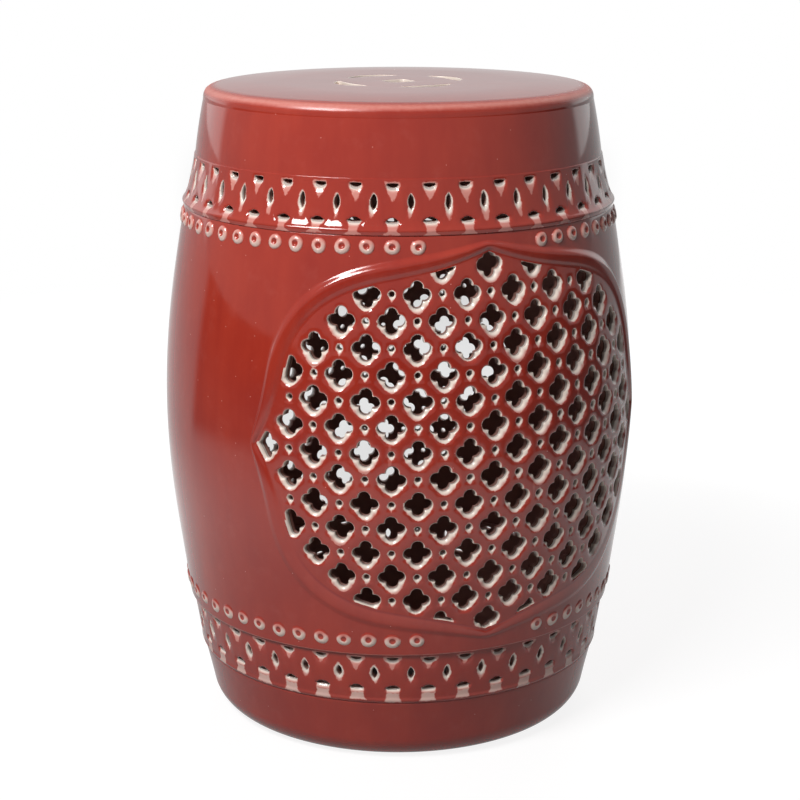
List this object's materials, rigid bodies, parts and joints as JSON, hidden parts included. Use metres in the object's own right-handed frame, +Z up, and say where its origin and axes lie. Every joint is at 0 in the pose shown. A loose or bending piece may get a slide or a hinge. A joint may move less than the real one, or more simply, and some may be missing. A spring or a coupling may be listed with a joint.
{
  "type": "garden stool",
  "caption": "Barrel-shaped glazed ceramic garden stool with a coin-pierced seat, pierced bands, rows of studs and lattice medallions on two sides.",
  "frame": {"origin": "centre of the foot, on the floor", "axes": "+Z up through the seat, -Y towards the front medallion, +X to the right as seen from the front"},
  "size_m": [0.3386, 0.3386, 0.457],
  "materials": {
    "red_glaze": "thick glossy translucent oxblood glaze that breaks to pale pink on edges and studs",
    "bare_clay": "unglazed buff stoneware"
  },
  "bodies": {
    "root": {"seat_disc": "red_glaze", "shoulder_wall": "red_glaze", "upper_pierced_band": "red_glaze", "upper_studs_left": "red_glaze", "upper_studs_right": "red_glaze", "side_wall_left": "red_glaze", "side_wall_right": "red_glaze", "front_medallion_rim": "red_glaze", "rear_medallion_rim": "red_glaze", "front_lattice_panel": "red_glaze", "rear_lattice_panel": "red_glaze", "lower_studs_left": "red_glaze", "lower_studs_right": "red_glaze", "lower_pierced_band": "red_glaze", "foot_wall": "red_glaze", "base_ring": "bare_clay"}
  },
  "joints": []
}
